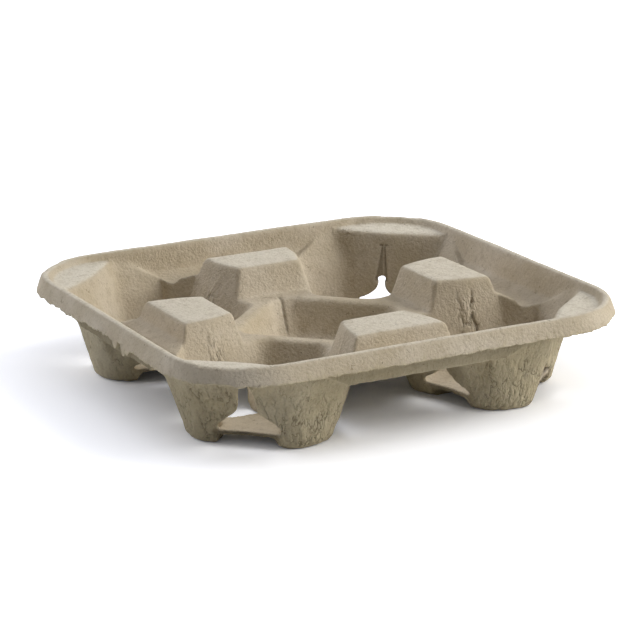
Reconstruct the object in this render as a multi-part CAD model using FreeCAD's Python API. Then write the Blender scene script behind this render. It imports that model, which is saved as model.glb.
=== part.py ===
import FreeCAD, Part
import collections
import math
import os

os.makedirs("parts", exist_ok=True)

# Four-cup carrier tray of moulded paper pulp: one moulded sheet, one solid.
# Frame: millimetres, +Z up, origin under the middle of the tray with its feet
# standing on z = 0, X and Y along the two pairs of straight sides.
#
# The sheet is the space between two skins. Both skins are one and the same
# form, made at a depth under the upper face: 0 for the upper face, SHEET for
# the underside. A lean is a shift in plan per mm of height; a cavity with a
# positive lean widens upward, as a moulded form must to leave its mould.
#
# LIP_HALF and CREST_Z drive the rest: the walls and troughs keep their places
# along the rim, the blocks and the pocket share what is left between them, and
# the heights of the upper face hang from the crest.

# --- sheet ----------------------------------------------------------------------
SHEET = 1.8                 # thickness of the moulded pulp

# --- rim ------------------------------------------------------------------------
LIP_HALF = 107.5            # half width over the free edge of the lip
CREST_Z = 43.6              # top of the rim, and of the tray
LIP_Z = CREST_Z - 7.8       # height of the lip's free edge
LIP_CORNER = 0.386 * LIP_HALF   # its plan radius at the tray's corners
CREST_HALF = LIP_HALF - 2.9     # half width over the crest, before rounding
CREST_WIDTH = 3.88          # from there in to the rim's inner wall
CREST_ROUND = 2.3           # rounding of both edges of the crest
RIM_WALL_LEAN = 0.145
RIM_WALL = CREST_HALF - CREST_WIDTH - RIM_WALL_LEAN * CREST_Z   # run down to z = 0

# --- section of the troughs between the blocks and the rim ------------------------
SHOULDER_Z = CREST_Z - 10.1     # the block's outer face ends at this height
TROUGH_Z = SHOULDER_Z - 5.3
TROUGH_RISE = 2.6           # short steep rise from the floor to the shoulder
TROUGH_RISE_RUN = 1.5
BEAD_Z = TROUGH_Z + 2.3     # step at the foot of the rim wall
BEAD_AT = RIM_WALL + RIM_WALL_LEAN * BEAD_Z - 1.42
TROUGH_MID = BEAD_AT - 8.2  # middle of the trough's flat floor
TROUGH_FLOOR_HALF = 3.0
BLOCK_OUTER = TROUGH_MID - 13.3     # outer ends of the blocks' tops

# --- blocks, corner lands, ridges and the pocket between them --------------------
BLOCK_Z = CREST_Z - 2.2     # flat tops of the four blocks
BLOCK_INNER = 0.469 * LIP_HALF  # inner ends of those tops
BLOCK_HALF = 0.319 * LIP_HALF   # half width of a block at its widest, at z = 0
BLOCK_LEAN = 0.27           # of the inner and outer faces
BLOCK_CORNER = 4.0
LAND_Z = CREST_Z - 3.6      # flat lands in the tray's corners
LAND_FROM = BLOCK_HALF + 11.7
RIDGE_Z = BLOCK_Z - 14.0    # tops of the ridges that join the blocks
RIDGE_WALL = 0.427 * LIP_HALF   # a cell's wall along a ridge, on the diagonal, z = 0
RIDGE_LEAN = 0.33
POCKET_WALL = RIDGE_WALL - 23.3     # half size of the diamond pocket, at z = 0
POCKET_LEAN = 0.27
POCKET_CORNER = 9.0
POCKET_Z = 9.6              # floor of the pocket
POCKET_FLOOR_ROUND = 4.0

# --- cup cells: nine walls around a floor ----------------------------------------
OUTER_WALL = RIM_WALL - 8.4     # walls along the rim, at z = 0
OUTER_WALL_LEAN = 0.25
KNEE_Z = CREST_Z - 18.6     # over this height they spread faster
KNEE_LEAN = 0.56
CHORD_BEND = math.sqrt(2.0) * (LIP_HALF - LIP_CORNER) + 5.06    # bulge in the corner
CHORD_TURN = 5.5            # plan turn of its two halves, in degrees
CHORD_LEAN = 0.285
SIDE_BEND_AT = BLOCK_OUTER - 12.7   # a wall along a block bulges most at this distance
SIDE_LEAN = 0.34
SIDE_SLOPE_IN = 19.4        # plan slope of its two halves, in degrees
SIDE_SLOPE_OUT = 5.8
BEND_RADIUS = 40.0          # plan rounding of every bulge
RIM_CORNER = 16.0           # plan rounding between the rim and a block
CHORD_CORNER = 7.0          # between the rim and the corner wall
RIDGE_CORNER = 9.0          # between a block and a ridge
CELL_FLOOR_ROUND = 1.5      # from the feet up into the walls

# --- raised floor of a cell: three straps between three feet ---------------------
STRAP_Z = 6.3               # top of the straps
STRAP_LEAN = 0.45           # they grow wider downward
STRAP_CORNER = 2.0
CORNER_STRAP_HALF = 13.2    # half width of the strap toward the tray's corner
CORNER_STRAP_FROM = CHORD_BEND - 28.4   # it starts here on the diagonal
SIDE_STRAP_OUT = OUTER_WALL - 11.0      # the straps toward the blocks lie between
SIDE_STRAP_IN = SIDE_STRAP_OUT - 22.0
STRAP_MID = 0.5 * (SIDE_STRAP_IN + SIDE_STRAP_OUT)
SIDE_STRAP_FROM = 10.0      # they start under the block
SIDE_STRAP_TO = SIDE_STRAP_OUT - 9.0    # and end over the middle of the cell

# --- ends of the troughs ----------------------------------------------------------
TROUGH_REACH = BLOCK_HALF + 0.1     # half length of the floor
TROUGH_END_LEAN = 1.8
END_AT = OUTER_WALL         # the wall under a trough's end: at this distance
END_HALF = BLOCK_HALF + 6.0     # it is this far out at z = 0
END_LEAN = 0.18
END_SLOPE = 14.5            # plan slope, in degrees
END_CORNER = 5.0
STEP_AT = END_AT - 6.0      # slanted step from there back to the block's wall
STEP_HALF = BLOCK_HALF + 1.7
STEP_LEAN = 0.217

# --- rounding of the upper face ---------------------------------------------------
TOP_ROUND = 2.4             # blocks and ridges
POCKET_ROUND = 3.0          # mouth of the pocket

# --- bell-shaped slots where the straps meet the cell walls -----------------------
SLOT_SILL = 0.5             # height of wall left standing on a strap
SLOT_OFF = 1.7              # the corner slots sit this much to one side
CORNER_SLOT_FROM = CHORD_BEND - 16.4    # their cutter starts here on the diagonal
CORNER_SLOT_RUN = 34.0
SIDE_SLOT_HALF = BLOCK_HALF + 13.7  # half length of the cutter through a block
CORNER_SLOT_WIDER = 0.8     # foot of a slot beyond its strap, on each side
SIDE_SLOT_WIDER = 3.0

# A slot from its foot up: how far the foot's upright sides rise over the strap,
# the flank's half widths with their heights over the strap, and the crown's.
# Going round anticlockwise, the corner bells start at the corner at +X +Y and the
# block bells at the block at +Y.
Bell = collections.namedtuple("Bell", "foot_rise flank crown")
TALL_BELL = Bell(2.5, ((10.5, 5.7), (5.0, 9.7), (3.8, 14.7), (1.6, 21.7)), 23.2)
LOW_BELL = Bell(1.6, ((5.6, 4.2), (2.7, 6.7), (1.6, 11.7)), 13.1)
STUB_BELL = Bell(1.4, ((5.6, 3.4), (1.8, 5.2)), 6.0)
SIDE_BELL = Bell(2.3, ((8.0, 5.2), (4.0, 8.2), (2.0, 12.3)), 13.7)
FLAT_BELL = Bell(2.1, ((8.0, 4.4), (4.2, 6.6), (2.2, 8.4)), 9.6)
CORNER_BELLS = (LOW_BELL, LOW_BELL, TALL_BELL, STUB_BELL)
BLOCK_BELLS = (SIDE_BELL, FLAT_BELL, SIDE_BELL, FLAT_BELL)

# The strap from the cell at -X -Y toward the block at -X has lost its end.
TORN_HALF = 12.0            # half width of the gap
TORN_OFF = 3.0              # it sits this much toward the pocket
TORN_UNDER = 10.0           # it reaches this far under the block
TORN_LENGTH = 26.0
TORN_RISE = 4.6             # it rises this far over the strap

# --- reach of the shaping solids past the tray ------------------------------------
BEYOND = 1.05 * LIP_HALF
ABOVE = 1.2 * CREST_Z
BELOW = -0.14 * CREST_Z

ORIGIN = FreeCAD.Vector(0.0, 0.0, 0.0)
UP = FreeCAD.Vector(0.0, 0.0, 1.0)

# One wall of a cavity: direction of its outward normal in plan, distance at
# z = 0, lean, plan radius where it meets the wall before it, lean over the knee.
Wall = collections.namedtuple("Wall", "angle distance lean corner knee_lean")


def vec(x, y, z):
    return FreeCAD.Vector(x, y, z)


def wall(angle, distance, lean, corner):
    """A wall with the same lean all the way up."""
    return Wall(math.radians(angle), distance, lean, corner, lean)


def kneed_wall(angle, distance, lean, corner, knee_lean):
    """A wall that spreads faster over the knee."""
    return Wall(math.radians(angle), distance, lean, corner, knee_lean)


def stretch(lean):
    """Shift in plan that moves a leaning wall by 1 mm along its normal."""
    return math.hypot(1.0, lean)


def knee_height(depth):
    """Height of the knee on the skin at this depth."""
    return KNEE_Z - depth * (stretch(KNEE_LEAN) - stretch(OUTER_WALL_LEAN)) / (KNEE_LEAN - OUTER_WALL_LEAN)


def plan_line(one, z, depth):
    """Line of a wall at height z on the skin at this depth: normal, distance."""
    below = one.distance + one.lean * z + depth * stretch(one.lean)
    knee = one.distance + one.lean * KNEE_Z
    above = knee + one.knee_lean * (z - KNEE_Z) + depth * stretch(one.knee_lean)
    return math.cos(one.angle), math.sin(one.angle), max(below, above)


def crossing(one, two, z):
    """Point where two plan lines cross."""
    det = one[0] * two[1] - one[1] * two[0]
    x = (one[2] * two[1] - two[2] * one[1]) / det
    y = (one[0] * two[2] - two[0] * one[2]) / det
    return vec(x, y, z)


def corner_arc(before, after, radius, z):
    """Start, middle and end of the arc between two plan lines."""
    point = crossing(before, after, z)
    turn = before[0] * after[1] - before[1] * after[0]
    spread = abs(math.atan2(turn, before[0] * after[0] + before[1] * after[1]))
    trim = radius * math.tan(spread / 2.0)
    back = vec(before[1], -before[0], 0.0)
    ahead = vec(-after[1], after[0], 0.0)
    sag = radius / math.cos(spread / 2.0) - radius
    middle = point + (back + ahead).normalize() * sag
    return point + back * trim, middle, point + ahead * trim


def outline(walls, z, depth):
    """Closed plan outline of some walls at height z, its corners rounded."""
    lines = [plan_line(one, z, depth) for one in walls]
    arcs = []
    for i, line in enumerate(lines):
        before = lines[i - 1]
        outward = before[0] * line[1] > before[1] * line[0]
        radius = walls[i].corner + (depth if outward else -depth)
        arcs.append(corner_arc(before, line, radius, z))
    edges = []
    for i, (start, middle, stop) in enumerate(arcs):
        edges.append(Part.Arc(start, middle, stop).toShape())
        edges.append(Part.makeLine(stop, arcs[(i + 1) % len(arcs)][0]))
    return Part.Wire(edges)


def cavity(walls, heights, depth):
    """Solid inside some walls, ruled from each height to the next."""
    return Part.makeLoft([outline(walls, z, depth) for z in heights], True, True)


def tapered_square(low, high):
    """Square block with rounded corners; each end is half width, corner, z."""
    wires = []
    for half, corner, z in (low, high):
        wires.append(outline([wall(90.0 * side, half, 0.0, corner) for side in range(4)], z, 0.0))
    return Part.makeLoft(wires, True, True)


def box(x_low, x_high, y_low, y_high, z_low, z_high):
    return Part.makeBox(x_high - x_low, y_high - y_low, z_high - z_low, vec(x_low, y_low, z_low))


def turned(shape, angle):
    copy = shape.copy()
    copy.rotate(ORIGIN, UP, angle)
    return copy


def four_ways(shape):
    """The shape in all four quarters of the tray."""
    return [turned(shape, 90.0 * quarter) for quarter in range(4)]


def floor_edges(solid, z):
    return [edge for edge in solid.Edges if edge.BoundBox.ZMax < z + 0.01]


# --- rim ---------------------------------------------------------------------------

def rim_body(depth):
    """Everything under the crest and the lip, with its crest still sharp."""
    lean = (LIP_HALF - CREST_HALF) / (CREST_Z - LIP_Z)
    to_corner = LIP_CORNER - LIP_HALF
    lip_half = LIP_HALF - depth * stretch(lean)
    top_half = CREST_HALF + depth * lean - depth * stretch(lean)
    low_end = (lip_half, lip_half + to_corner, LIP_Z)
    high_end = (top_half, top_half + to_corner, CREST_Z - depth)
    # Under the lip the body only has to be wider than the sheet's skins.
    wide = LIP_HALF + depth
    under = tapered_square((wide, LIP_CORNER, BELOW), (wide, LIP_CORNER, LIP_Z))
    return under.fuse(tapered_square(low_end, high_end))


def rim_limit(depth):
    """Space inside the rim wall; no cavity reaches beyond it."""
    ends = []
    for z in (BELOW, ABOVE):
        half = RIM_WALL + RIM_WALL_LEAN * z + depth * stretch(RIM_WALL_LEAN)
        ends.append((half, half + LIP_CORNER - LIP_HALF, z))
    return tapered_square(ends[0], ends[1])


# --- cup cells ---------------------------------------------------------------------

def side_wall(slope, on_x_side, corner):
    """One half of a bulged cell wall along a block."""
    tilt = math.radians(slope)
    distance = SIDE_BEND_AT * math.sin(tilt) - BLOCK_HALF * math.cos(tilt)
    angle = 270.0 + slope if on_x_side else 180.0 - slope
    return wall(angle, distance, SIDE_LEAN * math.cos(tilt), corner)


def chord_wall(turn, corner):
    """One half of the bulged wall in the tray's corner."""
    along = math.cos(math.radians(turn))
    return wall(45.0 + turn, CHORD_BEND * along, CHORD_LEAN * along, corner)


def cell_walls():
    return [
        kneed_wall(0.0, OUTER_WALL, OUTER_WALL_LEAN, RIM_CORNER, KNEE_LEAN),
        chord_wall(CHORD_TURN, CHORD_CORNER),
        chord_wall(-CHORD_TURN, BEND_RADIUS),
        kneed_wall(90.0, OUTER_WALL, OUTER_WALL_LEAN, CHORD_CORNER, KNEE_LEAN),
        side_wall(SIDE_SLOPE_OUT, False, RIM_CORNER),
        side_wall(SIDE_SLOPE_IN, False, BEND_RADIUS),
        wall(225.0, -RIDGE_WALL, RIDGE_LEAN, RIDGE_CORNER),
        side_wall(SIDE_SLOPE_IN, True, RIDGE_CORNER),
        side_wall(SIDE_SLOPE_OUT, True, BEND_RADIUS),
    ]


def strap(walls, depth):
    """A raised strap of the floor; it is solid, so it shrinks with depth."""
    return cavity(walls, (BELOW, STRAP_Z - depth), -depth)


def straps(depth):
    """The three straps of one cell."""
    grow = STRAP_LEAN * STRAP_Z
    half = CORNER_STRAP_HALF + grow
    toward_corner = strap([
        wall(45.0, math.hypot(BEYOND, BEYOND), 0.0, STRAP_CORNER),
        wall(135.0, half, -STRAP_LEAN, STRAP_CORNER),
        wall(225.0, -CORNER_STRAP_FROM, 0.0, STRAP_CORNER),
        wall(315.0, half, -STRAP_LEAN, STRAP_CORNER)], depth)
    toward_block = strap([
        wall(0.0, SIDE_STRAP_OUT + grow, -STRAP_LEAN, STRAP_CORNER),
        wall(90.0, SIDE_STRAP_TO, 0.0, STRAP_CORNER),
        wall(180.0, grow - SIDE_STRAP_IN, -STRAP_LEAN, STRAP_CORNER),
        wall(270.0, -SIDE_STRAP_FROM, 0.0, STRAP_CORNER)], depth)
    return [toward_corner, toward_block, toward_block.mirror(ORIGIN, vec(1.0, -1.0, 0.0))]


def trough_end(depth):
    """The foot of a trough's end, which stands out into the cells beside it."""
    tilt = math.radians(END_SLOPE)
    reach = END_HALF * math.cos(tilt) - END_AT * math.sin(tilt)
    lean = -END_LEAN * math.cos(tilt)
    step = math.sqrt(0.5) * (STEP_HALF - STEP_AT)
    walls = [wall(0.0, BEYOND, 0.0, BLOCK_CORNER), wall(90.0 + END_SLOPE, reach, lean, BLOCK_CORNER),
             wall(135.0, step, -STEP_LEAN, END_CORNER), wall(225.0, step, -STEP_LEAN, BLOCK_CORNER),
             wall(270.0 - END_SLOPE, reach, lean, END_CORNER)]
    return cavity(walls, (BELOW, SHOULDER_Z + SHEET), -depth)


def cell(depth):
    """The space of the cup cell in the +X +Y quarter."""
    floor = SHEET - depth
    space = cavity(cell_walls(), (floor, knee_height(depth), ABOVE), depth)
    space = space.makeFillet(CELL_FLOOR_ROUND + depth, floor_edges(space, floor))
    end = trough_end(depth)
    return space.cut(straps(depth) + [end, turned(end, 90.0)])


# --- troughs, clearing and pocket ----------------------------------------------------

def trough(depth):
    """The trough on the +X side: a section run along Y, with slanted ends."""
    inner = TROUGH_MID - TROUGH_FLOOR_HALF
    outer = TROUGH_MID + TROUGH_FLOOR_HALF
    section = [(BLOCK_OUTER + BLOCK_LEAN * (BLOCK_Z - ABOVE), ABOVE),
               (BLOCK_OUTER + BLOCK_LEAN * (BLOCK_Z - SHOULDER_Z), SHOULDER_Z),
               (inner - TROUGH_RISE_RUN, TROUGH_Z + TROUGH_RISE), (inner, TROUGH_Z),
               (outer, TROUGH_Z), (BEAD_AT, BEAD_Z), (BEYOND, BEAD_Z), (BEYOND, ABOVE)]
    points = [vec(r, -LIP_HALF, z) for r, z in section]
    wire = Part.makePolygon(points + [points[0]])
    if depth > 0.0:
        wire = wire.makeOffset2D(depth)
    bar = Part.Face(wire).extrude(vec(0.0, 2.0 * LIP_HALF, 0.0))
    reach = TROUGH_REACH - TROUGH_END_LEAN * TROUGH_Z
    ends = [wall(0.0, BEYOND, 0.0, BLOCK_CORNER), wall(90.0, reach, TROUGH_END_LEAN, BLOCK_CORNER),
            wall(180.0, 0.0, 0.0, BLOCK_CORNER), wall(270.0, reach, TROUGH_END_LEAN, BLOCK_CORNER)]
    return bar.common(cavity(ends, (TROUGH_Z - 2.0 * SHEET, ABOVE), depth))


def clearing(depth):
    """The space between the blocks, down to the ridges."""
    foot = BLOCK_INNER - BLOCK_LEAN * BLOCK_Z
    walls = [wall(90.0 * side, foot, BLOCK_LEAN, BLOCK_CORNER) for side in range(4)]
    return cavity(walls, (RIDGE_Z - depth, ABOVE), depth)


def pocket(depth):
    """The diamond pocket in the middle of the tray."""
    walls = [wall(45.0 + 90.0 * side, POCKET_WALL, POCKET_LEAN, POCKET_CORNER) for side in range(4)]
    space = cavity(walls, (POCKET_Z - depth, ABOVE), depth)
    return space.makeFillet(POCKET_FLOOR_ROUND + depth, floor_edges(space, POCKET_Z - depth))


def skin(depth):
    """Solid under the skin at this depth."""
    spaces = four_ways(cell(depth)) + four_ways(trough(depth))
    spaces += four_ways(box(LAND_FROM, BEYOND, LAND_FROM, BEYOND, LAND_Z - depth, ABOVE))
    spaces.append(box(-BEYOND, BEYOND, -BEYOND, BEYOND, BLOCK_Z - depth, ABOVE))
    spaces.append(clearing(depth))
    hollow = pocket(depth).fuse(spaces)
    return rim_body(depth).cut(hollow.common(rim_limit(depth)))


# --- rounding and slots ---------------------------------------------------------------

def lies_at(edge, z):
    return abs(edge.BoundBox.ZMin - z) < 0.01 and abs(edge.BoundBox.ZMax - z) < 0.01


def is_upright(edge):
    """Whether an edge is an inner corner of a block."""
    bounds = edge.BoundBox
    return abs(bounds.ZMin - RIDGE_Z) < 0.01 and abs(bounds.ZMax - BLOCK_Z) < 0.01


def from_middle(edge):
    """Distances of an edge from the middle: the smaller of x and y, and both."""
    x, y = abs(edge.BoundBox.Center.x), abs(edge.BoundBox.Center.y)
    return min(x, y), x + y


def rounded(solid):
    """The upper skin with its blocks, ridges, crest and pocket rounded off."""
    past_mouth = math.sqrt(2.0) * (POCKET_WALL + POCKET_LEAN * RIDGE_Z) + SHEET

    def is_ridge(edge):
        nearer, both = from_middle(edge)
        return lies_at(edge, RIDGE_Z) and both > past_mouth and nearer > 0.01

    def is_pocket(edge):
        return lies_at(edge, RIDGE_Z) and from_middle(edge)[1] < past_mouth

    tops = [e for e in solid.Edges if lies_at(e, BLOCK_Z) or is_upright(e) or is_ridge(e)]
    solid = solid.makeFillet(TOP_ROUND, tops)
    solid = solid.makeFillet(CREST_ROUND, [e for e in solid.Edges if lies_at(e, CREST_Z)])
    return solid.makeFillet(POCKET_ROUND, [e for e in solid.Edges if is_pocket(e)])


def smooth_side(points):
    curve = Part.BSplineCurve()
    curve.interpolate(points)
    return curve.toShape()


def bell_cutter(bell, foot_half, start, run):
    """Cutter for a slot over a strap that runs along +X."""
    flank = [(foot_half, STRAP_Z + bell.foot_rise)]
    flank += [(half, STRAP_Z + rise) for half, rise in bell.flank]
    right = [vec(start, half, z) for half, z in flank]
    left = [vec(start, -half, z) for half, z in reversed(flank)]
    crown = Part.Arc(right[-1], vec(start, 0.0, STRAP_Z + bell.crown), left[0]).toShape()
    foot = (vec(start, foot_half, STRAP_Z + SLOT_SILL), vec(start, -foot_half, STRAP_Z + SLOT_SILL))
    corners = (left[-1], foot[1], foot[0], right[0])
    sill = [Part.makeLine(here, there) for here, there in zip(corners, corners[1:])]
    wire = Part.Wire([smooth_side(right), crown, smooth_side(left)] + sill)
    return Part.Face(wire).extrude(vec(run, 0.0, 0.0))


def torn_end():
    """Cutter of the gap at the end of one strap."""
    middle = TORN_OFF - STRAP_MID
    end = TORN_UNDER - BLOCK_HALF
    return box(middle - TORN_HALF, middle + TORN_HALF, end - TORN_LENGTH, end, BELOW, STRAP_Z + TORN_RISE)


def slots():
    """Cutters of the corner slots, of those under the blocks and of the torn end."""
    corner_half = CORNER_STRAP_HALF + CORNER_SLOT_WIDER
    side_half = 0.5 * (SIDE_STRAP_OUT - SIDE_STRAP_IN) + SIDE_SLOT_WIDER
    cutters = [torn_end()]
    for quarter, bell in enumerate(BLOCK_BELLS):
        under_block = bell_cutter(bell, side_half, -SIDE_SLOT_HALF, 2.0 * SIDE_SLOT_HALF)
        under_block.translate(vec(0.0, STRAP_MID, 0.0))
        cutters.append(turned(under_block, 90.0 * quarter))
    for quarter, bell in enumerate(CORNER_BELLS):
        corner = bell_cutter(bell, corner_half, CORNER_SLOT_FROM, CORNER_SLOT_RUN)
        corner.translate(vec(0.0, SLOT_OFF, 0.0))
        cutters.append(turned(corner, 45.0 + 90.0 * quarter))
    return cutters


tray = rounded(skin(0.0)).cut(skin(SHEET)).cut(slots())
tray.Solids[0].exportStep("parts/tray.step")
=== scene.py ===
import logging
import math
from dataclasses import dataclass, field
from enum import Enum

import bmesh
import bpy
from mathutils import Matrix, Vector, noise


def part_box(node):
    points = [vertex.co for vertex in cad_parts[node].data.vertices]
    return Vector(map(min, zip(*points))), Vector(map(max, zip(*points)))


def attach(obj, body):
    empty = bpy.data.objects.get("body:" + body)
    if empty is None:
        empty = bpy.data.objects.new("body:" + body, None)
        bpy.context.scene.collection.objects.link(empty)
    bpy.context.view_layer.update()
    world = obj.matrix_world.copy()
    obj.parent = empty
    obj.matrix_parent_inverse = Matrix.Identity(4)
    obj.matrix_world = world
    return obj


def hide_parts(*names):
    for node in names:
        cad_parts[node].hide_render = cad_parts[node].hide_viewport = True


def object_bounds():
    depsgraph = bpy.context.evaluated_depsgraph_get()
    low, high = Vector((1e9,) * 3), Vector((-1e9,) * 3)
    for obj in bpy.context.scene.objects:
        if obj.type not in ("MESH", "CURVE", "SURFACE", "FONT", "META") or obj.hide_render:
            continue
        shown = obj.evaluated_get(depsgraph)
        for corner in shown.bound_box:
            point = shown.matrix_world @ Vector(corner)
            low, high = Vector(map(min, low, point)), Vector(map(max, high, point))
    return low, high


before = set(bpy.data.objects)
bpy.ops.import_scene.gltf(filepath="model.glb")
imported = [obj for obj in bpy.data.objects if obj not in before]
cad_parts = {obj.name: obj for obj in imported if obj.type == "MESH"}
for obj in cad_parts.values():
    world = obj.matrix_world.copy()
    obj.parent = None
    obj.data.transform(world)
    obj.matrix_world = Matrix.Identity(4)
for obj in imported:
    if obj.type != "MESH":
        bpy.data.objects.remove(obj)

LOG = logging.getLogger("pulp_tray")
MM = 0.001
CAD_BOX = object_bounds()

Socket = bpy.types.NodeSocket
Span = tuple[float, float]      # where something starts and where it ends


def linear(hex_colour: str) -> tuple[float, float, float, float]:
    """Turn an sRGB hex colour into linear light.

    Args:
        hex_colour: Six hex digits, with or without a leading #.

    Returns:
        Linear red, green and blue, and an alpha of 1.
    """
    digits = hex_colour.lstrip("#")
    channels = [int(digits[i:i + 2], 16) / 255.0 for i in (0, 2, 4)]
    light = [c / 12.92 if c <= 0.04045 else ((c + 0.055) / 1.055) ** 2.4 for c in channels]
    return (light[0], light[1], light[2], 1.0)


def ramp(value: float, low: float, high: float) -> float:
    """Rise smoothly from 0 at low to 1 at high.

    Args:
        value: Where on the ramp to look.
        low: Value at which the ramp starts.
        high: Value at which it ends; it may be under low.

    Returns:
        A share between 0 and 1.
    """
    share = min(1.0, max(0.0, (value - low) / (high - low)))
    return share * share * (3.0 - 2.0 * share)


def bell(value: float, middle: float, half: float) -> float:
    """Rise to 1 at the middle and fall to 0 at half a width on each side."""
    return ramp(abs(value - middle), half, 0.0)


def between(value: float, span: Span) -> bool:
    """Say whether a value lies inside a span."""
    return span[0] < value < span[1]


def from_middle(point: Vector) -> tuple[float, float]:
    """Distances from the tray's two middle planes, the smaller one first."""
    near, far = sorted((abs(point.x), abs(point.y)))
    return near, far


def in_plan(point: Vector) -> Vector:
    """A point's place in plan, with no height."""
    return Vector((point.x, point.y, 0.0))


# --- node trees -------------------------------------------------------------------


@dataclass
class NodeBench:
    """The node tree of a material or a world, with one way to add to it."""

    owner: bpy.types.Material | bpy.types.World

    def add(self, kind: str, settings: dict | None = None, **links: object) -> bpy.types.Node:
        """Add a node, set its properties and feed its inputs.

        Args:
            kind: Blender's name of the node type.
            settings: Properties of the node itself.
            links: Inputs by name, underscores for spaces or "i" and a number
                for an index; each is a plain value or an output socket.

        Returns:
            The new node.
        """
        tree = self.owner.node_tree
        node = tree.nodes.new(kind)
        for name, value in (settings or {}).items():
            setattr(node, name, value)
        for name, value in links.items():
            by_index = name[0] == "i" and name[1:].isdigit()
            socket = node.inputs[int(name[1:]) if by_index else name.replace("_", " ")]
            if isinstance(value, Socket):
                tree.links.new(value, socket)
            else:
                socket.default_value = value
        return node


def empty_bench(owner: bpy.types.Material | bpy.types.World) -> NodeBench:
    """Start an empty node tree on a material or a world."""
    owner.use_nodes = True
    owner.node_tree.nodes.clear()
    return NodeBench(owner)


def seen_directly(bench: NodeBench) -> Socket:
    """Tell the rays that show a background from those that light the tray.

    Args:
        bench: Nodes of the floor's material or of the world.

    Returns:
        1 for rays from the camera or off a glossy surface, 0 for the others.
    """
    rays = bench.add("ShaderNodeLightPath").outputs
    return bench.add("ShaderNodeMath", {"operation": "MAXIMUM"}, i0=rays["Is Camera Ray"],
                     i1=rays["Is Glossy Ray"]).outputs["Value"]


# --- finishes ---------------------------------------------------------------------


class Wear(Enum):
    """What the tray's mesh keeps at each vertex for its finish to read."""

    # The first attribute holds real cracks and also painted shade: under the lip, on the straps'
    # cut edges and in the fold over a slot.
    CRACK_AND_SHADE = "crack"
    CRAZED = "crazed"
    SCREEN = "screen"
    PRESSED_AND_TOP_LIGHT = "pressed_and_top_light"


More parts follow.
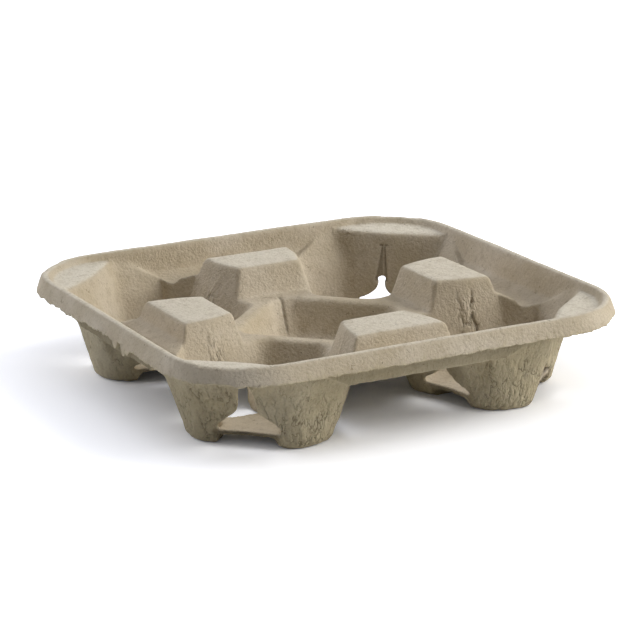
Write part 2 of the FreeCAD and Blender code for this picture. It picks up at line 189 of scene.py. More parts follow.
@dataclass(frozen=True)
class MouldedPulp:
    """Unbleached paper pulp, sucked wet onto a wire screen and dried.

    The eye sees a dead matt, grainy sheet: warm grey, paler and greyer where it
    lies flat, from pressing and as painted light from above, a little yellower on
    the downward side, from the screen and as painted shade, clouded where the pulp
    lies thicker, with hair-fine brown fibres, a few specks of old print, darker
    lines where the drying sheet cracked, and painted shade under the lip, on the
    straps' cut edges and in a fold.
    Shares say how much of a tone shows; levels are the values of a pattern
    between which the tone comes in.
    """

    name: str = "moulded_paper_pulp"
    # The first tone below is the pale tone of flat tops, from pressing and also painted light from
    # above.
    pressed_and_top_light: str = "#DED7C8"
    pale: str = "#D1C6B4"
    body: str = "#C3B69F"
    shade: str = "#A3947B"
    # The next tone is the yellower downward side, from the screen and also a painted shade hue.
    screened_and_shaded: str = "#C4B88C"
    fibre: str = "#77664E"
    ink: str = "#3F382F"
    # The dark tone below darkens real cracks, and also painted shade under the lip, on the straps'
    # cut edges and in a fold.
    rift_and_shade: str = "#5A4D3B"
    cloud_mm: float = 15.0
    mottle_mm: float = 2.2
    grain_mm: float = 0.5
    fibre_mm: float = 2.6
    speck_mm: float = 6.5
    craze_mm: float = 2.6
    bump_mm: float = 0.6
    cloud_levels: Span = (0.35, 0.7)
    pressed_and_top_light_share: float = 0.95
    screened_and_shaded_share: float = 0.4
    mottle_levels: Span = (0.5, 0.8)
    mottle_share: float = 0.45
    grain_levels: Span = (0.52, 0.75)
    grain_share: float = 0.4
    strand_levels: Span = (0.014, 0.004)
    strand_ends: Span = (0.56, 0.64)
    strand_share: float = 0.45
    speck_levels: Span = (0.055, 0.03)
    speck_share: float = 0.75
    crease_levels: Span = (0.025, 0.003)
    crazed_levels: Span = (0.86, 1.0)
    crack_and_shade_share: float = 0.8
    craze_share: float = 0.45
    lump_levels: Span = (0.0, 0.13)
    drawn_upward: float = 0.42
    bump_strength: float = 0.8
    roughness: float = 0.95
    ior: float = 1.45
    specular: float = 0.2

    def dress(self, piece: bpy.types.Object) -> None:
        """Put this finish on a piece."""
        piece.data.materials.clear()
        piece.data.materials.append(self.material())

    def material(self) -> bpy.types.Material:
        """Build the node material.

        Returns:
            The finished material.
        """
        bench = empty_bench(bpy.data.materials.new(self.name))
        place = bench.add("ShaderNodeTexCoord").outputs["Object"]
        bark = self.bark(bench, place)
        crazing = self.crazing(bench, place, bark)
        colour = self.tones(bench, place)
        colour = self.fibres(bench, place, colour)
        colour = self.rifts_and_shade(bench, crazing, colour)
        surface = bench.add(
            "ShaderNodeBsdfPrincipled", Base_Color=colour, Roughness=self.roughness,
            IOR=self.ior, Specular_IOR_Level=self.specular,
            Normal=self.relief(bench, place, bark, crazing))
        bench.add("ShaderNodeOutputMaterial", Surface=surface.outputs["BSDF"])
        return bench.owner

    def pattern(self, bench: NodeBench, place: Socket, size_mm: float,
                detail: float = 2.0) -> Socket:
        """Add a noise whose blobs are about as large as a real size.

        Args:
            bench: The material's nodes.
            place: Object coordinates.
            size_mm: Width of a blob in millimetres.
            detail: Octaves under the first.

        Returns:
            The noise's factor.
        """
        return bench.add("ShaderNodeTexNoise", Vector=place, Scale=1.0 / (2.0 * size_mm * MM),
                         Detail=detail, Roughness=0.6).outputs["Fac"]

    def spread(self, bench: NodeBench, factor: Socket, levels: Span, top: float = 1.0) -> Socket:
        """Stretch the part of a factor between two levels over 0 to a top value."""
        return bench.add("ShaderNodeMapRange", {"clamp": True}, Value=factor, From_Min=levels[0],
                         From_Max=levels[1], To_Min=0.0, To_Max=top).outputs["Result"]

    def blend(self, bench: NodeBench, share: object, under: object, over: object) -> Socket:
        """Lay one colour over another by a share."""
        mix = bench.add("ShaderNodeMix", {"data_type": "RGBA"}, i0=share, i6=under, i7=over)
        return mix.outputs[2]

    def maths(self, bench: NodeBench, operation: str, *values: object) -> Socket:
        """Work out one value from others."""
        inputs = {f"i{index}": value for index, value in enumerate(values)}
        return bench.add("ShaderNodeMath", {"operation": operation}, **inputs).outputs["Value"]

    def off_middle(self, bench: NodeBench, factor: Socket) -> Socket:
        """How far a noise is from its middle value, which it meets along winding lines."""
        return self.maths(bench, "ABSOLUTE", self.maths(bench, "SUBTRACT", factor, 0.5))

    def kept(self, bench: NodeBench, wear: Wear) -> Socket:
        """Read a share that the mesh keeps at its vertices."""
        return bench.add("ShaderNodeAttribute", {"attribute_name": wear.value}).outputs["Fac"]

    def tones(self, bench: NodeBench, place: Socket) -> Socket:
        """Mix the sheet's colour: clouds, pale flat tops (pressing and painted top light), yellower
        downward faces (screen side and painted shade), mottling, grain.

        Args:
            bench: The material's nodes.
            place: Object coordinates.

        Returns:
            The colour without fibres and cracks.
        """
        clouds = self.spread(bench, self.pattern(bench, place, self.cloud_mm), self.cloud_levels)
        mottle = self.spread(bench, self.pattern(bench, place, self.mottle_mm, 3.0),
                             self.mottle_levels, self.mottle_share)
        grain = self.spread(bench, self.pattern(bench, place, self.grain_mm, 1.0),
                            self.grain_levels, self.grain_share)
        # Pale tone on flat upward faces: pressing, and painted light from above.
        pressed_and_top_light = self.maths(bench, "MULTIPLY", self.kept(bench, Wear.PRESSED_AND_TOP_LIGHT), self.pressed_and_top_light_share)
        # Yellower tone on downward faces: the screen side, and a painted shade hue.
        screened_and_shaded = self.maths(bench, "MULTIPLY", self.kept(bench, Wear.SCREEN), self.screened_and_shaded_share)
        tone = self.blend(bench, clouds, linear(self.body), linear(self.pale))
        tone = self.blend(bench, pressed_and_top_light, tone, linear(self.pressed_and_top_light))
        tone = self.blend(bench, screened_and_shaded, tone, linear(self.screened_and_shaded))
        tone = self.blend(bench, mottle, tone, linear(self.shade))
        return self.blend(bench, grain, tone, linear(self.shade))

    def fibres(self, bench: NodeBench, place: Socket, colour: Socket) -> Socket:
        """Strew short brown fibres, thin as hair, and a few specks of ink.

        Args:
            bench: The material's nodes.
            place: Object coordinates.
            colour: The colour under them.

        Returns:
            The colour with fibres and specks.
        """
        lines = self.off_middle(bench, self.pattern(bench, place, self.fibre_mm, 1.5))
        strand = self.spread(bench, lines, self.strand_levels)
        broken = self.spread(bench, self.pattern(bench, place, 1.3 * self.fibre_mm),
                             self.strand_ends, self.strand_share)
        colour = self.blend(bench, self.maths(bench, "MULTIPLY", strand, broken), colour,
                            linear(self.fibre))
        cells = bench.add("ShaderNodeTexVoronoi", Vector=place, Scale=1.0 / (self.speck_mm * MM),
                          Randomness=1.0).outputs["Distance"]
        specks = self.spread(bench, cells, self.speck_levels, self.speck_share)
        return self.blend(bench, specks, colour, linear(self.ink))

    def bark(self, bench: NodeBench, place: Socket) -> Socket:
        """Lumps of the rough side, drawn out upward, with a crease around each.

        Args:
            bench: The material's nodes.
            place: Object coordinates.

        Returns:
            Height over the creases, from 0 to about 0.25.
        """
        wander = bench.add("ShaderNodeTexNoise", Vector=place, Detail=2.0,
                           Scale=1.0 / (3.0 * self.craze_mm * MM)).outputs["Color"]
        centred = bench.add("ShaderNodeVectorMath", {"operation": "SUBTRACT"}, i0=wander,
                            i1=(0.5, 0.5, 0.5)).outputs["Vector"]
        moved = bench.add("ShaderNodeVectorMath", {"operation": "MULTIPLY_ADD"}, i0=centred,
                          i1=(self.craze_mm * MM,) * 3, i2=place).outputs["Vector"]
        drawn = bench.add("ShaderNodeMapping", Vector=moved,
                          Scale=(1.0, 1.0, self.drawn_upward)).outputs["Vector"]
        return self.off_middle(bench, self.pattern(bench, drawn, self.craze_mm, 3.0))

    def crazing(self, bench: NodeBench, place: Socket, bark: Socket) -> Socket:
        """Short fine cracks in the creases, where the mesh says that the sheet crazed.

        Args:
            bench: The material's nodes.
            place: Object coordinates.
            bark: Height of the lumps over their creases.

        Returns:
            How deep the surface lies in a crack, from 0 to 1.
        """
        patches = self.pattern(bench, place, 1.1 * self.craze_mm, 1.0)
        here = self.maths(bench, "MULTIPLY_ADD", self.kept(bench, Wear.CRAZED), 0.5, patches)
        return self.maths(bench, "MULTIPLY", self.spread(bench, bark, self.crease_levels),
                          self.spread(bench, here, self.crazed_levels))

    def rifts_and_shade(self, bench: NodeBench, crazing: Socket, colour: Socket) -> Socket:
        """Darken the sheet in its fine cracks, in the deep ones of the mesh and in the painted
        shade that the mesh marks.

        Args:
            bench: The material's nodes.
            crazing: How deep the surface lies in a fine crack.
            colour: The colour of the sound sheet.

        Returns:
            The finished colour.
        """
        # The mesh's crack share holds real cracks and painted shade.
        deep = self.maths(bench, "MULTIPLY", self.kept(bench, Wear.CRACK_AND_SHADE), self.crack_and_shade_share)
        fine = self.maths(bench, "MULTIPLY", crazing, self.craze_share)
        share = self.maths(bench, "MAXIMUM", deep, fine)
        return self.blend(bench, share, colour, linear(self.rift_and_shade))

    def relief(self, bench: NodeBench, place: Socket, bark: Socket, crazing: Socket) -> Socket:
        """Bump of grain everywhere, and of wrinkles and fine cracks on the rough side.

        Args:
            bench: The material's nodes.
            place: Object coordinates.
            bark: Height of the lumps over their creases.
            crazing: How deep the surface lies in a fine crack.

        Returns:
            The bumped normal.
        """
        grain = self.pattern(bench, place, 1.4 * self.grain_mm, 2.0)
        rough = self.maths(bench, "MULTIPLY_ADD", self.kept(bench, Wear.SCREEN), 0.3, 0.1)
        rough = self.maths(bench, "MULTIPLY_ADD", self.kept(bench, Wear.CRAZED), 1.5, rough)
        lumps = self.spread(bench, bark, self.lump_levels)
        height = self.maths(bench, "MULTIPLY_ADD", lumps, rough, grain)
        height = self.maths(bench, "MULTIPLY_ADD", crazing, -0.6, height)
        return bench.add("ShaderNodeBump", Strength=self.bump_strength,
                         Distance=self.bump_mm * MM, Height=height).outputs["Normal"]


@dataclass(frozen=True)
class StudioPaper:
    """White paper sweep: seen white, with the tray's soft shadow on it, partly cast by the lamps
    and partly painted where ambient occlusion dims its glow.
    """

    name: str = "studio_paper"
    paper: str = "#F2F3F6"
    tint: str = "#F8F9FF"
    glow: float = 0.74
    shaded_within: float = 0.1

    def material(self) -> bpy.types.Material:
        """Build paper that lifts to white where the camera sees it uncovered; ambient occlusion
        dims the lift near the tray, a painted contact shadow.

        Returns:
            The finished material.
        """
        bench = empty_bench(bpy.data.materials.new(self.name))
        seen = seen_directly(bench)
        # Ambient occlusion dims the camera-only glow near the tray: a painted contact shadow.
        openness = bench.add("ShaderNodeAmbientOcclusion", Distance=self.shaded_within)
        lift = bench.add("ShaderNodeMath", {"operation": "MULTIPLY"}, i0=seen,
                         i1=openness.outputs["AO"]).outputs["Value"]
        lift = bench.add("ShaderNodeMath", {"operation": "MULTIPLY"}, i0=lift,
                         i1=self.glow).outputs["Value"]
        matt = bench.add("ShaderNodeBsdfDiffuse", Color=linear(self.paper)).outputs["BSDF"]
        light = bench.add("ShaderNodeEmission", Color=linear(self.tint),
                          Strength=lift).outputs["Emission"]
        both = bench.add("ShaderNodeAddShader", i0=matt, i1=light).outputs["Shader"]
        bench.add("ShaderNodeOutputMaterial", Surface=both)
        return bench.owner


# --- relief, wear and painted shade of the sheet, all lengths in millimetres --------


@dataclass(frozen=True)
class Relief:
    """Uneven surface of dried pulp.

    Depths are along the surface's normal; sizes are the widths of the lumps.
    """

    swell: float = 24.0
    swell_depth: float = 0.26
    lump: float = 3.8
    felt_lump_depth: float = 0.06
    screen_lump_depth: float = 0.34
    pimple: float = 1.9
    felt_pimple_depth: float = 0.04
    screen_pimple_depth: float = 0.2
    drawn_upward: float = 0.6

    def lift(self, point: Vector, under: float) -> float:
        """Height of the relief at a point.

        Args:
            point: Place on the tray.
            under: 1 on the rough underside, 0 on the smoother upper face.

        Returns:
            Shift along the normal.
        """
        lumps = self.felt_lump_depth + under * (self.screen_lump_depth - self.felt_lump_depth)
        pimples = self.felt_pimple_depth + under * (self.screen_pimple_depth
                                                    - self.felt_pimple_depth)
        height = self.swell_depth * noise.noise(point / self.swell)
        drawn = Vector((point.x, point.y, self.drawn_upward * point.z))
        height += lumps * noise.noise(drawn / self.lump + Vector((7.0, 3.0, 1.0)))
        return height + pimples * noise.noise(drawn / self.pimple)


@dataclass(frozen=True)
class PressedTopsAndTopLight:
    """Pale tone of the flat tops, from pressing and as painted light from above: full on the corner
    lands, less on the higher ones.
    """

    level: Span = (0.75, 0.98)
    heights: Span = (36.5, 39.5)
    higher: Span = (40.4, 41.0)
    less: float = 0.21

    def share(self, point: Vector, normal: Vector) -> float:
        """Share of the pale tone at a point, pressing and painted top light, by the way its surface
        faces.
        """
        flat = ramp(normal.z, *self.level) * ramp(point.z, *self.heights)
        return flat * (1.0 - self.less * ramp(point.z, *self.higher))


@dataclass(frozen=True)
class CrazedSkin:
    """Wrinkled and cracked skin.

    Most on the legs' outsides near the ground and at the pinched sides of the
    blocks, less on the leg at -X +Y, none on flat faces.
    """

    upright: Span = (0.75, 0.45)
    leg_heights: Span = (48.0, 12.0)
    leg_reach: Span = (24.0, 40.0)
    calm_corner: Span = (60.0, 110.0)
    calm_loss: float = 0.7
    block_at: float = 63.0
    block_half: float = 7.0
    block_height: float = 25.0
    block_rise: float = 14.0
    block_ends: Span = (40.0, 34.0)

    def share(self, point: Vector, normal: Vector, under: float) -> float:
        """How wrinkled and cracked the sheet is at a point.

        Args:
            point: Place on the tray.
            normal: Surface normal there.
            under: 1 on the underside, 0 on the upper face.

        Returns:
            Share of the wear, from 0 to 1.
        """
        upright = ramp(abs(normal.z), *self.upright)
        near, far = from_middle(point)
        legs = under * ramp(point.z, *self.leg_heights) * ramp(near, *self.leg_reach)
        legs *= 1.0 - self.calm_loss * ramp(point.y - point.x, *self.calm_corner)
        block = ((1.0 - under) * bell(far, self.block_at, self.block_half)
                 * bell(point.z, self.block_height, self.block_rise)
                 * ramp(near, *self.block_ends))
        return upright * max(legs, block)


@dataclass(frozen=True)
class PocketSlit:
    """Thin crack down the pocket's corner toward +Y."""

    along_y: Span = (20.0, 42.0)
    heights: Span = (10.0, 29.0)
    fade: Span = (10.0, 14.0)
    wander: float = 0.5
    wave: float = 3.0
    half: float = 0.8

    def share(self, point: Vector, normal: Vector) -> float:
        """Share of the crack at a point.

        Args:
            point: Place on the tray.
            normal: Surface normal there.

        Returns:
            1 along the crack, 0 beside it.
        """
        if normal.z < 0.0 or not between(point.y, self.along_y) \
                or not between(point.z, self.heights):
            return 0.0
        path = self.wander * noise.noise(Vector((0.0, 0.0, point.z / self.wave)))
        return bell(point.x, path, self.half) * ramp(point.z, *self.fade)


@dataclass(frozen=True)
class WedgePleatAndShade:
    """Closed, wedge-shaped fold over the slot in the corner at +X +Y.

    A crease outlines it, flaring downward from a short bar. The sheet is sunk a
    little along it, and painted shade darkens the crease and the inside, but for a paler stripe.
    """

    corner_from: float = 60.0
    flattest: float = 0.5
    heights: Span = (17.0, 35.0)
    off_diagonal: float = 1.7
    top: float = 34.0
    top_half: float = 0.7
    flare: float = 0.13
    inside: float = 0.45
    inside_edge: float = 0.4
    outline: float = 0.4
    outline_half: float = 0.6
    under_bar: Span = (34.2, 33.0)
    bar: float = 0.8
    bar_half: float = 0.7
    bar_ends: Span = (2.6, 1.8)
    stripe: float = 0.8
    stripe_at: float = -0.3
    stripe_half: float = 0.5

    def share(self, point: Vector, normal: Vector) -> float:
        """Share of the fold and of its painted shade at a point.

        Args:
            point: Place on the tray.
            normal: Surface normal there.

        Returns:
            Near 1 in the deepest crease, 0 outside the fold.
        """
        if point.x < self.corner_from or point.y < self.corner_from \
                or abs(normal.z) > self.flattest or not between(point.z, self.heights):
            return 0.0
        across = (point.y - point.x) / math.sqrt(2.0) - self.off_diagonal
        half = self.top_half + self.flare * (self.top - point.z)
        wedge = (self.inside * ramp(abs(across), half + self.inside_edge, half - self.inside_edge)
                 + self.outline * bell(abs(across), half, self.outline_half))
        bar = self.bar * bell(point.z, self.top, self.bar_half) * ramp(abs(across), *self.bar_ends)
        fold = max(wedge * ramp(point.z, *self.under_bar), bar)
        return fold * (1.0 - self.stripe * bell(across, self.stripe_at * half, self.stripe_half))


@dataclass(frozen=True)
class PinchCracks:
    """Two wandering cracks over each slot under a block.

    They are strong on the block at +X, weaker at -X and faint elsewhere.
    """

    near_side: Span = (14.0, 42.0)
    flattest: float = 0.6
    heights: Span = (12.0, 38.0)
    inner_at: float = 59.5
    inner_wander: float = 1.6
    inner_wave: float = 5.0
    inner_half: float = 0.8
    inner_share: float = 0.5
    outer_at: float = 65.5
    outer_wander: float = 2.4
    outer_wave: float = 4.0
    outer_half: float = 1.1
    gap_wave: float = 2.6
    gap_levels: Span = (-0.55, -0.05)
    faint: float = 0.2
    weaker: float = 0.45
    block_from: Span = (40.0, 50.0)
    top_fade: Span = (38.0, 33.0)
    foot_fade: Span = (12.0, 15.0)

    def share(self, point: Vector, normal: Vector) -> float:
        """Share of the cracks at a point.

        Args:
            point: Place on the tray.
            normal: Surface normal there.

        Returns:
            1 in the strongest crack, 0 beside the cracks.
        """
        near, far = from_middle(point)
        if not between(near, self.near_side) or abs(normal.z) > self.flattest \
                or not between(point.z, self.heights):
            return 0.0
        inner = far - self.inner_at + self.inner_wander * noise.noise(point / self.inner_wave)
        other = point / self.outer_wave + Vector((3.0, 8.0, 5.0))
        outer = far - self.outer_at + self.outer_wander * noise.noise(other)
        gaps = ramp(noise.noise(point / self.gap_wave), *self.gap_levels)
        lines = max(self.inner_share * bell(inner, 0.0, self.inner_half),
                    bell(outer, 0.0, self.outer_half))
        strong = max(self.faint, ramp(point.x, *self.block_from),
                     self.weaker * ramp(-point.x, *self.block_from))
        return (strong * gaps * lines * ramp(point.z, *self.top_fade)
                * ramp(point.z, *self.foot_fade))


@dataclass(frozen=True)
class LipPaintedShade:
    """Painted shade on the wall right under the lip, darkest at -X."""

    wall: Span = (98.0, 103.5)
    flattest: float = 0.6
    ends: Span = (62.0, 50.0)
    heights: Span = (36.0, 34.5)
    left_share: float = 0.6
    other_share: float = 0.3

    def share(self, point: Vector, normal: Vector) -> float:
        """Share of the painted shade at a point.

        Args:
            point: Place on the tray.
            normal: Surface normal there.

        Returns:
            0 where the lip does not shelter the wall.
        """
        near, far = from_middle(point)
        if not between(far, self.wall) or near > self.ends[0] or abs(normal.z) > self.flattest:
            return 0.0
        outward = normal.x * point.x + normal.y * point.y > 0.0
        most = self.left_share if point.x < -self.wall[0] else self.other_share
        return most * outward * ramp(near, *self.ends) * ramp(point.z, *self.heights)


@dataclass(frozen=True)
class StrapEdgePaintedShade:
    """Painted shade on the sheet's edge at the ends of the straps."""

    heights: Span = (3.2, 7.4)
    flattest: float = 0.45
    corner_from: Span = (97.5, 99.0)
    corner_ends: Span = (22.0, 19.0)
    block_at: float = 64.0
    block_half: float = 13.0
    block_ends: Span = (36.0, 34.0)
    block_share: float = 0.6
    most: float = 0.75

    def share(self, point: Vector, normal: Vector) -> float:
        """Share of the painted shade at a point.

        Args:
            point: Place on the tray.
            normal: Surface normal there.

        Returns:
            0 away from the cut ends.
        """
        if not between(point.z, self.heights) or normal.z > self.flattest:
            return 0.0
        near, far = from_middle(point)
        corner = (ramp((near + far) / math.sqrt(2.0), *self.corner_from)
                  * ramp(far - near, *self.corner_ends))
        block = bell(far, self.block_at, self.block_half) * ramp(near, *self.block_ends)
        return self.most * max(corner, self.block_share * block)


@dataclass(frozen=True)
class RaggedLip:
    """Free edge of the lip: nibbled all round, worn high at -X, with two hanging flakes."""

    corner: float = 41.5
    edge_from: float = 3.2
    edge_full: float = 0.8
    heights: Span = (38.4, 36.2)
    tear: float = 0.5
    far_left: Span = (125.0, 150.0)
    left: Span = (-95.0, -105.0)
    worn: float = 1.4
    worn_at: float = -8.0
    worn_half: float = 50.0
    more_torn: float = 1.2
    lowest_nibble: float = -0.5
    inward: float = 0.35
    flake: float = 3.4
    flake_steep: float = 2.4
    small_at: float = -17.0
    small_half: float = 3.4
    broad_at: float = -28.0
    broad_half: float = 5.2

    def shift(self, point: Vector) -> Vector:
        """Shift of the ragged free edge.

        Args:
            point: Place on the tray.

        Returns:
            The move, none away from the edge.
        """
        straight = CAD_BOX[1][0] / MM - self.corner
        out = math.hypot(max(0.0, abs(point.x) - straight), max(0.0, abs(point.y) - straight))
        edge = (ramp(out, self.corner - self.edge_from, self.corner - self.edge_full)
                * ramp(point.z, *self.heights))
        if edge <= 0.0:
            return Vector((0.0, 0.0, 0.0))
        flat = in_plan(point)
        nibble = (noise.noise(flat / 2.6) + 0.55 * noise.noise(flat / 1.3)
                  + 0.4 * noise.noise(flat / 9.0))
        far_left = ramp(point.y - point.x, *self.far_left)
        left = ramp(point.x, *self.left)
        worn = left * bell(point.y, self.worn_at, self.worn_half)
        hanging = max(bell(point.y, self.small_at, self.small_half),
                      bell(point.y, self.broad_at, self.broad_half))
        flakes = left * min(1.0, self.flake_steep * hanging)
        flakes *= 0.9 + 0.5 * noise.noise(flat / 2.8)
        reach = self.tear * (1.0 + self.more_torn * far_left + self.more_torn * worn)
        drop = self.worn * worn + reach * max(self.lowest_nibble, nibble) - self.flake * flakes
        side = flat.normalized()
        return edge * (Vector((0.0, 0.0, drop)) - self.inward * reach * max(0.0, nibble) * side)


@dataclass(frozen=True)
class BrokenStrap:
    """Ragged edge of the gap where the strap at -X -Y has lost its end."""

    middle: Span = (-60.1, -38.5)
    half: float = 12.0
    band: Span = (9.5, 14.5)
    heights: Span = (3.0, 9.0)
    tear: float = 2.6
    edge_half: float = 2.4

    def shift(self, point: Vector) -> Vector:
        """Shift of the ragged edge.

        Args:
            point: Place on the tray.

        Returns:
            The move, none away from the gap.
        """
        off = Vector((point.x - self.middle[0], point.y - self.middle[1], 0.0))
        out = max(abs(off.x), abs(off.y))
        if not between(point.z, self.heights) or not between(out, self.band):
            return Vector((0.0, 0.0, 0.0))
        flat = in_plan(point)
        nibble = noise.noise(flat / 3.1) + 0.6 * noise.noise(flat / 1.4)
        return off.normalized() * (self.tear * nibble * bell(out, self.half, self.edge_half))


# --- the tray -----------------------------------------------------------------------


@dataclass
class PulpTray:
    """The one moulded sheet of the tray, dressed from its solid.

    The solid gives every wall its place. The sheet is meshed afresh at an even
    size, its sharp edges are softened as wet pulp leaves them, and then lumps,
    cracks and torn edges are worked into it.
    """

    finish: MouldedPulp = field(default_factory=MouldedPulp)
    relief: Relief = field(default_factory=Relief)
    pressed_and_top_light: PressedTopsAndTopLight = field(default_factory=PressedTopsAndTopLight)
    crazed: CrazedSkin = field(default_factory=CrazedSkin)
    grooves: tuple[PocketSlit | WedgePleatAndShade | PinchCracks, ...] = (
        PocketSlit(), WedgePleatAndShade(), PinchCracks())
    # Painted shade on the straps' cut edges and under the lip.
    painted_shades: tuple[StrapEdgePaintedShade | LipPaintedShade, ...] = (StrapEdgePaintedShade(), LipPaintedShade())
    torn: tuple[RaggedLip | BrokenStrap, ...] = (RaggedLip(), BrokenStrap())
    node: str = "tray"
    mesh_mm: float = 0.72
    joined_mm: float = 0.001
    soften: float = 0.5
    soften_passes: int = 3
    land_passes: int = 24
    land_over_mm: float = 33.0
    land_from_mm: float = 103.0
    land_within_mm: float = 99.0
    under_normal: Span = (0.06, -0.06)
    groove_depth_mm: float = 1.0
    triangle_budget: int = 192_000

    def build(self) -> bpy.types.Object:
        """Make the tray's visible sheet and dress it.

        Returns:
            The finished object, in place of the solid.
        """
        piece = self.copy_of_solid()
        self.apply_modifier(piece, "REMESH", mode="VOXEL", voxel_size=self.mesh_mm * MM)
        self.sculpt(piece)
        triangles = sum(len(face.vertices) - 2 for face in piece.data.polygons)
        if triangles > self.triangle_budget:
            self.apply_modifier(piece, "DECIMATE", ratio=self.triangle_budget / triangles)
        self.keep_inside(piece)
        piece.data.shade_smooth()
        self.finish.dress(piece)
        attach(piece, "root")
        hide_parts(self.node)
        LOG.info("tray: %d faces", len(piece.data.polygons))
        return piece

    def copy_of_solid(self) -> bpy.types.Object:
        """Copy the solid's mesh with its loose triangles joined.

        Returns:
            The copy, as an object of its own.
        """
        shell = bmesh.new()
        shell.from_mesh(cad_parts[self.node].data)
        bmesh.ops.remove_doubles(shell, verts=shell.verts, dist=self.joined_mm * MM)
        mesh = bpy.data.meshes.new("pulp_sheet")
        shell.to_mesh(mesh)
        shell.free()
        piece = bpy.data.objects.new("pulp_sheet", mesh)
        bpy.context.scene.collection.objects.link(piece)
        return piece

    def apply_modifier(self, piece: bpy.types.Object, kind: str, **settings: object) -> None:
        """Run one modifier and keep its result as the piece's mesh.

        Args:
            piece: The object to change.
            kind: Blender's name of the modifier type.
            settings: The modifier's properties.
        """
        modifier = piece.modifiers.new(kind.lower(), kind)
        for name, value in settings.items():
            setattr(modifier, name, value)
        graph = bpy.context.evaluated_depsgraph_get()
        mesh = bpy.data.meshes.new_from_object(piece.evaluated_get(graph))
        piece.modifiers.remove(modifier)
        old = piece.data
        piece.data = mesh
        bpy.data.meshes.remove(old)

    def sculpt(self, piece: bpy.types.Object) -> None:
        """Soften the edges, then work the relief and the wear into the sheet.

        Args:
            piece: The freshly meshed sheet.
        """
        sheet = bmesh.new()
        sheet.from_mesh(piece.data)
        self.smooth(sheet, sheet.verts, self.soften_passes)
        lands = [vert for vert in sheet.verts if self.on_land(vert.co / MM)]
        self.smooth(sheet, lands, self.land_passes)
        self.fit_to_box(sheet)
        sheet.normal_update()
        layers = {wear: sheet.verts.layers.float.new(wear.value) for wear in Wear}
        moves = []
        for vert in sheet.verts:
            point, normal = vert.co / MM, vert.normal
            under = ramp(normal.z, *self.under_normal)
            # The grooves sink the sheet; the fold's darkening among them is painted shade.
            groove = max(mark.share(point, normal) for mark in self.grooves)
            # Painted shade under the lip and on the straps' cut edges.
            painted_shade = max(mark.share(point, normal) for mark in self.painted_shades)
            vert[layers[Wear.CRACK_AND_SHADE]] = max(groove, painted_shade)
            vert[layers[Wear.CRAZED]] = self.crazed.share(point, normal, under)
            # Downward side: rough screen side for the bump, and a painted shade hue in the tint.
            vert[layers[Wear.SCREEN]] = under
            # Pale tone of flat tops: pressing, and painted light from above.
            vert[layers[Wear.PRESSED_AND_TOP_LIGHT]] = self.pressed_and_top_light.share(point, normal)
            height = self.relief.lift(point, under) - groove * self.groove_depth_mm
            move = normal * height
            for edge in self.torn:
                move = move + edge.shift(point)
            moves.append((vert, move))
        for vert, move in moves:
            vert.co += move * MM
        sheet.to_mesh(piece.data)
        sheet.free()

    def smooth(self, sheet: bmesh.types.BMesh, verts: object, passes: int) -> None:
        """Smooth some of the sheet's vertices a few times over.

        Args:
            sheet: The whole sheet.
            verts: The vertices that move.
            passes: How many times.
        """
        for _ in range(passes):
            bmesh.ops.smooth_vert(sheet, verts=verts, factor=self.soften, use_axis_x=True,
                                  use_axis_y=True, use_axis_z=True)

    def on_land(self, point: Vector) -> bool:
        """Say whether a point lies where a corner's flat land rounds into its cell."""
        along = (abs(point.x) + abs(point.y)) / math.sqrt(2.0)
        return (point.z > self.land_over_mm and along > self.land_from_mm
                and max(abs(point.x), abs(point.y)) < self.land_within_mm)

    def fit_to_box(self, sheet: bmesh.types.BMesh) -> None:
        """Give the softened sheet its full size back."""
        low, high = (Vector(corner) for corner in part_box(self.node))
        for axis in range(3):
            lowest = min(vert.co[axis] for vert in sheet.verts)
            highest = max(vert.co[axis] for vert in sheet.verts)
            scale = (high[axis] - low[axis]) / (highest - lowest)
            for vert in sheet.verts:
                vert.co[axis] = low[axis] + (vert.co[axis] - lowest) * scale

    def keep_inside(self, piece: bpy.types.Object) -> None:
        """Hold every point inside the solid's box."""
        low, high = (Vector(corner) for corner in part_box(self.node))
        for vert in piece.data.vertices:
            for axis in range(3):
                vert.co[axis] = min(high[axis], max(low[axis], vert.co[axis]))


# --- studio -------------------------------------------------------------------------


@dataclass
class Lamp:
    """One softbox: its direction from the tray, its strength and its tint."""

    name: str
    azimuth_deg: float
    elevation_deg: float
    watts: float
    colour: str = "#FFFFFF"
    width: float = 1.2
    distance: float = 2.0

    def build(self) -> None:
        """Hang the lamp, aimed at the tray."""
        light = bpy.data.lights.new(self.name, "AREA")
        light.shape = "SQUARE"
        light.size = self.width
        light.energy = self.watts
        light.color = linear(self.colour)[:3]
        around, up = math.radians(self.azimuth_deg), math.radians(self.elevation_deg)
        place = self.distance * Vector((math.cos(up) * math.cos(around),
                                        math.cos(up) * math.sin(around), math.sin(up)))
        lamp = bpy.data.objects.new(self.name, light)
        lamp.location = place
        lamp.rotation_euler = (-place).to_track_quat("-Z", "Y").to_euler()
        bpy.context.scene.collection.objects.link(lamp)


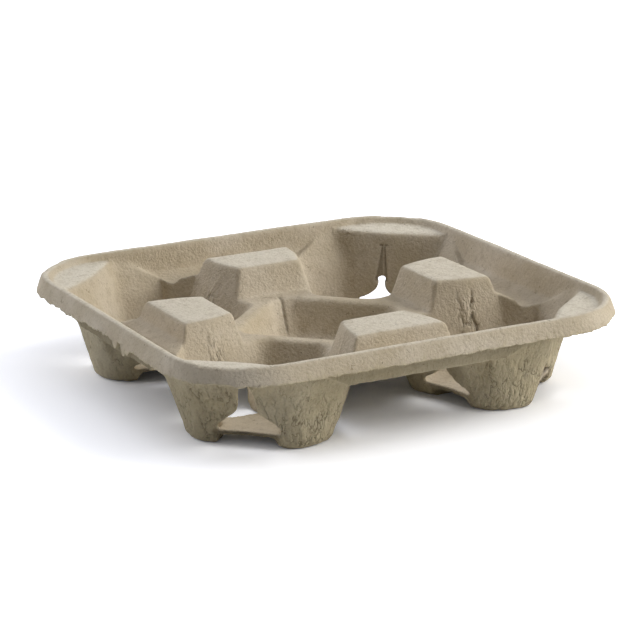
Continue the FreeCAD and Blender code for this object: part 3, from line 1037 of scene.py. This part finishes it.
@dataclass
class Studio:
    """White sweep, soft light and the camera."""

    paper: StudioPaper = field(default_factory=StudioPaper)
    floor_half: float = 6.0
    sky: float = 0.0
    azimuth_deg: float = -26.97
    elevation_deg: float = 16.05
    roll_deg: float = -1.18
    distance_mm: float = 1189.6
    lens_mm: float = 145.13
    sensor_mm: float = 36.0
    sight: float = 20.0
    target_mm: tuple[float, float, float] = (10.18, 19.71, 20.03)
    lamps: tuple[Lamp, ...] = (
        Lamp("key_softbox", 332.0, 36.0, 42.0, "#FFFDF8", 1.7),
        Lamp("back_softbox", 112.5, 36.0, 18.5, "#F6F8FF"),
        Lamp("left_softbox", 140.0, 14.0, 11.0, "#F6F9FF"),
        Lamp("low_front_softbox", 315.0, 13.0, 1.8, "#FFFDF8"),
        Lamp("front_softbox", 275.0, 60.0, 3.2, "#FFFFFF"),
    )

    def build(self) -> None:
        """Set the floor, the world, the lamps and the camera."""
        self.lay_floor()
        self.light_world()
        for lamp in self.lamps:
            lamp.build()
        self.place_camera()
        bpy.context.scene.view_settings.view_transform = "Standard"

    def lay_floor(self) -> None:
        """Lay the paper on which the tray stands."""
        sheet = bmesh.new()
        bmesh.ops.create_grid(sheet, x_segments=1, y_segments=1, size=self.floor_half)
        mesh = bpy.data.meshes.new("floor")
        sheet.to_mesh(mesh)
        sheet.free()
        mesh.materials.append(self.paper.material())
        floor = bpy.data.objects.new("floor", mesh)
        bpy.context.scene.collection.objects.link(floor)

    def light_world(self) -> None:
        """Make the surroundings pale to the eye, with no light of their own on the tray."""
        world = bpy.data.worlds.new("studio")
        bpy.context.scene.world = world
        bench = empty_bench(world)
        level = bench.add("ShaderNodeMapRange", Value=seen_directly(bench), To_Min=self.sky,
                          To_Max=1.0).outputs["Result"]
        back = bench.add("ShaderNodeBackground", Strength=level).outputs["Background"]
        bench.add("ShaderNodeOutputWorld", Surface=back)

    def place_camera(self) -> None:
        """Aim a long lens down at the tray's near corner."""
        azimuth, elevation = math.radians(self.azimuth_deg), math.radians(self.elevation_deg)
        back = Vector((math.sin(azimuth) * math.cos(elevation),
                       -math.cos(azimuth) * math.cos(elevation), math.sin(elevation)))
        right = (-back).cross(Vector((0.0, 0.0, 1.0))).normalized()
        upward = back.cross(right)
        turn = Matrix((right, upward, back)).transposed().to_4x4()
        data = bpy.data.cameras.new("camera")
        data.lens = self.lens_mm
        data.sensor_width = self.sensor_mm
        data.clip_end = self.sight
        camera = bpy.data.objects.new("camera", data)
        place = Vector(self.target_mm) * MM + back * self.distance_mm * MM
        roll = Matrix.Rotation(math.radians(self.roll_deg), 4, "Z")
        camera.matrix_world = Matrix.Translation(place) @ turn @ roll
        bpy.context.scene.collection.objects.link(camera)
        bpy.context.scene.camera = camera


def main() -> None:
    """Build the tray and the studio around it."""
    logging.basicConfig(level=logging.INFO)
    PulpTray().build()
    Studio().build()


if __name__ == "__main__":
    main()
